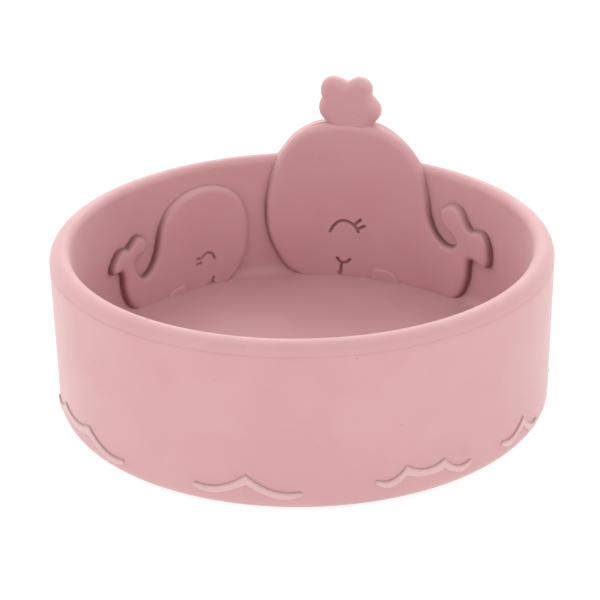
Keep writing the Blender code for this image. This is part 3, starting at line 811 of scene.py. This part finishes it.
def wave_loop(widths, heights, sizes, arc_steps=20):
    """The outline of a band of arcs that sag between sharp peaks, in millimetres."""
    top, bottom = [], []
    start = 0.0
    peak_band, trough_band = sizes.wave_peak_band / MM, sizes.wave_trough_band / MM
    sag, end_band = sizes.wave_sag / MM, sizes.wave_end_band / MM
    last = len(widths) - 1
    for number, (width, low, high) in enumerate(zip(widths, heights, heights[1:])):
        for i in range(arc_steps + (number == last)):
            share = i / arc_steps
            bow = 4 * share * (1 - share)
            at_end = (number == 0 and share < 0.5) or (number == last and share >= 0.5)
            extra = ((end_band if at_end else peak_band) - trough_band) * (1 - bow)
            up = low + (high - low) * share - sag * bow
            top.append((start + width * share, up))
            bottom.append((start + width * share, up - trough_band - extra))
        start += width
    radius = end_band / 2
    squeeze = (start - 2 * radius) / start
    top = [(radius + along * squeeze, up) for along, up in top]
    bottom = [(radius + along * squeeze, up) for along, up in bottom]
    caps = []
    for place, above, turn in ((top[-1][0], top[-1][1], 1), (top[0][0], top[0][1], -1)):
        caps.append(
            [
                (
                    place + turn * radius * math.sin(math.radians(angle)),
                    above - radius + turn * radius * math.cos(math.radians(angle)),
                )
                for angle in range(30, 180, 30)
            ]
        )
    return top + caps[0] + bottom[::-1] + caps[1]


def outside_radius(height, sizes):
    """Radius of the bowl's outside at a height on its wall or on the rounding below it."""
    wall_top, wall_bottom = sizes.rim_height - sizes.rim_outer_round, SKIRT_BOTTOM + sizes.bottom_round
    if height > wall_bottom:
        share = min(1.0, (height - wall_bottom) / (wall_top - wall_bottom))
        return sizes.foot_radius + (OUTER_RADIUS - sizes.foot_radius) * share
    drop = min(wall_bottom - height, sizes.bottom_round)
    return sizes.foot_radius - sizes.bottom_round + math.sqrt(sizes.bottom_round**2 - drop**2)


class SUCTIONBOWL_OT_waves(bpy.types.Operator):
    """Mould the raised waves round the base"""

    bl_idname = "suction_bowl.waves"
    bl_label = "Waves"

    def execute(self, context):
        sizes = context.scene.relief_sizes
        bowl = context.scene.bowl_sizes
        front = OUTER_RADIUS - WAVE_INSET
        for number, (azimuth, widths, heights) in enumerate(WAVES, start=1):
            loop = even_loop(wave_loop(widths, heights, sizes), 0.3)
            # painted shade: a dark line along each wave's top edge stands in for its shadow
            plate = moulded_plate(
                loop, sizes.wave_thickness / MM, sizes.wave_edge / MM, spacing=0.6, shade=wave_shade,
                painted_shade_width=sizes.wave_painted_shade / MM,
            )
            bend_round(plate, front, azimuth, OUTER_RADIUS, from_inside=False)
            for vert in plate.verts:
                proud = outside_radius(vert.co.z, bowl) + sizes.wave_relief
                closer = min(1.0, proud / front)
                vert.co.x *= closer
                vert.co.y *= closer
            # painted sheen: the whole wave is painted in the paler wave colour
            finish_piece(
                f"wave_relief_{number}", plate, "bowl_silicone", [f"wave_{number}"], "bowl", polish_and_painted_sheen=1.0
            )
        return {"FINISHED"}


def foot_profile(sizes):
    """(r, z) points down the foot's top side and back along its underside."""
    steps = 16
    hub_top = SKIRT_BOTTOM + sizes.hub_height
    hub_under = hub_top - sizes.hub_thickness
    start, end = HUB_RADIUS + 0.6 * MM, sizes.lip_inner
    dome_low = sizes.lip_root - 0.2 * MM
    rise = hub_top - 0.5 * MM - dome_low
    hub = [(0.0, hub_top), (HUB_RADIUS - 0.5 * MM, hub_top)]
    dome = []
    for i in range(steps + 1):
        share = i / steps
        dome.append((start + (end - start) * share, dome_low + rise * math.cos(math.pi / 2 * share)))
    bead = sizes.lip_edge / 2
    edge = arc_points(LIP_RADIUS - bead, bead, bead, 80, -90, 6)
    under = [(sizes.lip_inner + 0.6 * MM, 0.0), (sizes.lip_inner, 0.5 * MM)]
    dome_under = [(r, z - sizes.dome_thickness) for r, z in reversed(dome)][1:]
    return hub + dome + edge + under + dome_under + [(HUB_RADIUS * 0.8, hub_under), (0.0, hub_under)]


class SUCTIONBOWL_OT_foot(bpy.types.Operator):
    """Mould the suction foot: lip, dome and hub in one piece"""

    bl_idname = "suction_bowl.foot"
    bl_label = "Suction foot"

    def execute(self, context):
        sizes = context.scene.foot_sizes
        shape = spin_round(foot_profile(sizes), 240)
        nodes = ["suction_lip", "suction_membrane", "suction_hub"]
        piece = finish_piece("suction_foot", shape, "foot_silicone", nodes, None)
        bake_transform(piece)
        return {"FINISHED"}


class SUCTIONBOWL_OT_tab(bpy.types.Operator):
    """Mould the release tab, which grows out of the foot's lip"""

    bl_idname = "suction_bowl.tab"
    bl_label = "Release tab"

    def execute(self, context):
        sizes = context.scene.foot_sizes
        half, tip = (TAB_HIGH.x - TAB_LOW.x) / 2 / MM, TAB_HIGH.y / MM
        root, nose = sizes.tab_root / MM, sizes.tab_nose / MM
        thickness, edge = sizes.tab_thickness / MM, sizes.tab_edge / MM
        bead_place, bead_reach = tip - 1.9, 0.9
        turns = [math.radians(angle) for angle in range(0, 181, 6)]
        arc = [(half * math.cos(turn), tip - nose + nose * math.sin(turn) ** 0.8) for turn in turns]
        loop = even_loop([(-half, root), (half, root), *arc], 0.35)
        plate = moulded_plate(loop, thickness, edge, edge, spacing=0.5)
        for vert in plate.verts:
            if vert.co.z > thickness / 2:
                out = (vert.co.y - bead_place) / bead_reach
                vert.co.z += sizes.tab_bead / MM * math.exp(-out * out)
            vert.co = vert.co * MM + Vector((0, 0, TAB_LOW.z))
        piece = finish_piece("lift_tab", plate, "foot_silicone", ["release_tab"], None)
        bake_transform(piece)
        return {"FINISHED"}


# ---------------------------------------------------------------- stage


def stage_material(name, brightness):
    """A white floor that can't be seen from below."""
    material = bpy.data.materials.new(name)
    material.use_nodes = True
    tree = material.node_tree
    tree.nodes.clear()
    white = add_node(tree, "ShaderNodeBsdfDiffuse")
    white.inputs["Color"].default_value = (0.35, 0.35, 0.35, 1.0)
    glow = add_node(tree, "ShaderNodeEmission")
    glow.inputs["Color"].default_value = (1.0, 1.0, 1.0, 1.0)
    glow.inputs["Strength"].default_value = brightness
    lit = add_node(tree, "ShaderNodeAddShader")
    clear = add_node(tree, "ShaderNodeBsdfTransparent")
    side = add_node(tree, "ShaderNodeNewGeometry")
    choose = add_node(tree, "ShaderNodeMixShader")
    out = add_node(tree, "ShaderNodeOutputMaterial")
    tree.links.new(white.outputs[0], lit.inputs[0])
    tree.links.new(glow.outputs[0], lit.inputs[1])
    tree.links.new(side.outputs["Backfacing"], choose.inputs[0])
    tree.links.new(lit.outputs[0], choose.inputs[1])
    tree.links.new(clear.outputs[0], choose.inputs[2])
    tree.links.new(choose.outputs[0], out.inputs["Surface"])
    return material


def light_studio(levels):
    """A white surround whose brightness is given at rising angles above the horizon."""
    world = bpy.data.worlds.new("studio")
    bpy.context.scene.world = world
    world.use_nodes = True
    tree = world.node_tree
    background = tree.nodes["Background"]
    direction = add_node(tree, "ShaderNodeTexCoord").outputs["Generated"]
    split = add_node(tree, "ShaderNodeSeparateXYZ")
    tree.links.new(direction, split.inputs[0])
    shades = add_node(tree, "ShaderNodeValToRGB")
    height = add_node(tree, "ShaderNodeMapRange")
    height.inputs["From Min"].default_value = -1.0
    tree.links.new(split.outputs["Z"], height.inputs["Value"])
    tree.links.new(height.outputs["Result"], shades.inputs["Fac"])
    stops = shades.color_ramp.elements
    while len(stops) < len(levels):
        stops.new(0.5)
    for stop, (angle, level) in zip(stops, levels):
        stop.position = (math.sin(math.radians(angle)) + 1) / 2
        stop.color = (level, level, level, 1.0)
    tree.links.new(shades.outputs["Color"], background.inputs["Color"])
    background.inputs["Strength"].default_value = 1.0


def add_softbox(name, place, target, size, power):
    """A square area light that faces a point."""
    lamp = bpy.data.lights.new(name, "AREA")
    lamp.shape = "SQUARE"
    lamp.size = size
    lamp.energy = power
    softbox = bpy.data.objects.new(name, lamp)
    bpy.context.scene.collection.objects.link(softbox)
    softbox.location = place
    softbox.rotation_euler = (Vector(target) - Vector(place)).to_track_quat("-Z", "Y").to_euler()


def add_camera(sizes):
    """The scene's camera, turned round the bowl and looking down at it."""
    data = bpy.data.cameras.new("camera")
    data.lens = sizes.lens
    data.sensor_width = 36.0
    data.clip_start, data.clip_end = 0.02, 20.0
    camera = bpy.data.objects.new("camera", data)
    bpy.context.scene.collection.objects.link(camera)
    turn, rise = math.radians(sizes.azimuth), math.radians(sizes.elevation)
    back = Vector(
        (math.sin(turn) * math.cos(rise), -math.cos(turn) * math.cos(rise), math.sin(rise))
    )
    place = Vector((0, 0, sizes.aim_height)) + back * sizes.distance
    look = back.to_track_quat("Z", "Y").to_matrix()
    roll = Matrix.Rotation(math.radians(sizes.roll), 3, "Z")
    tilt = Matrix.Rotation(math.radians(sizes.tilt), 3, "X")
    pan = Matrix.Rotation(math.radians(sizes.pan), 3, "Y")
    camera.matrix_world = Matrix.Translation(place) @ (look @ roll @ tilt @ pan).to_4x4()
    bpy.context.scene.camera = camera


class SUCTIONBOWL_OT_stage(bpy.types.Operator):
    """Set the pale floor, the soft light and the camera"""

    bl_idname = "suction_bowl.stage"
    bl_label = "Stage"

    def execute(self, context):
        shape = bmesh.new()
        bmesh.ops.create_circle(shape, cap_ends=True, segments=64, radius=2.5)
        mesh = bpy.data.meshes.new("floor")
        shape.to_mesh(mesh)
        shape.free()
        mesh.materials.append(stage_material("white_floor", 0.8))
        floor = bpy.data.objects.new("floor", mesh)
        context.scene.collection.objects.link(floor)
        light_studio(SKY)
        for softbox in SOFTBOXES:
            add_softbox(*softbox)
        add_camera(context.scene.stage_sizes)
        context.scene.view_settings.view_transform = "Standard"
        return {"FINISHED"}


class SUCTIONBOWL_PT_panel(bpy.types.Panel):
    """Lists the bowl's pieces in the 3D view's sidebar"""

    bl_label = "Suction Bowl"
    bl_space_type = "VIEW_3D"
    bl_region_type = "UI"
    bl_category = "Suction Bowl"

    def draw(self, context):
        for operator in PIECES:
            self.layout.operator(operator.bl_idname)
        for name in GROUPS:
            group = getattr(context.scene, name)
            box = self.layout.box()
            for prop in group.__annotations__:
                box.prop(group, prop)


PIECES = (
    SUCTIONBOWL_OT_bowl,
    SUCTIONBOWL_OT_whales,
    SUCTIONBOWL_OT_spout,
    SUCTIONBOWL_OT_waves,
    SUCTIONBOWL_OT_foot,
    SUCTIONBOWL_OT_tab,
    SUCTIONBOWL_OT_stage,
)


def register():
    for group in GROUPS.values():
        bpy.utils.register_class(group)
    for name, group in GROUPS.items():
        setattr(bpy.types.Scene, name, bpy.props.PointerProperty(type=group))
    for operator in PIECES:
        bpy.utils.register_class(operator)
    bpy.utils.register_class(SUCTIONBOWL_PT_panel)


def unregister():
    bpy.utils.unregister_class(SUCTIONBOWL_PT_panel)
    for operator in reversed(PIECES):
        bpy.utils.unregister_class(operator)
    for name, group in reversed(GROUPS.items()):
        delattr(bpy.types.Scene, name)
        bpy.utils.unregister_class(group)


def main():
    register()
    bpy.ops.suction_bowl.bowl()
    bpy.ops.suction_bowl.whales()
    bpy.ops.suction_bowl.spout()
    bpy.ops.suction_bowl.waves()
    bpy.ops.suction_bowl.foot()
    bpy.ops.suction_bowl.tab()
    bpy.ops.suction_bowl.stage()


if __name__ == "__main__":
    main()
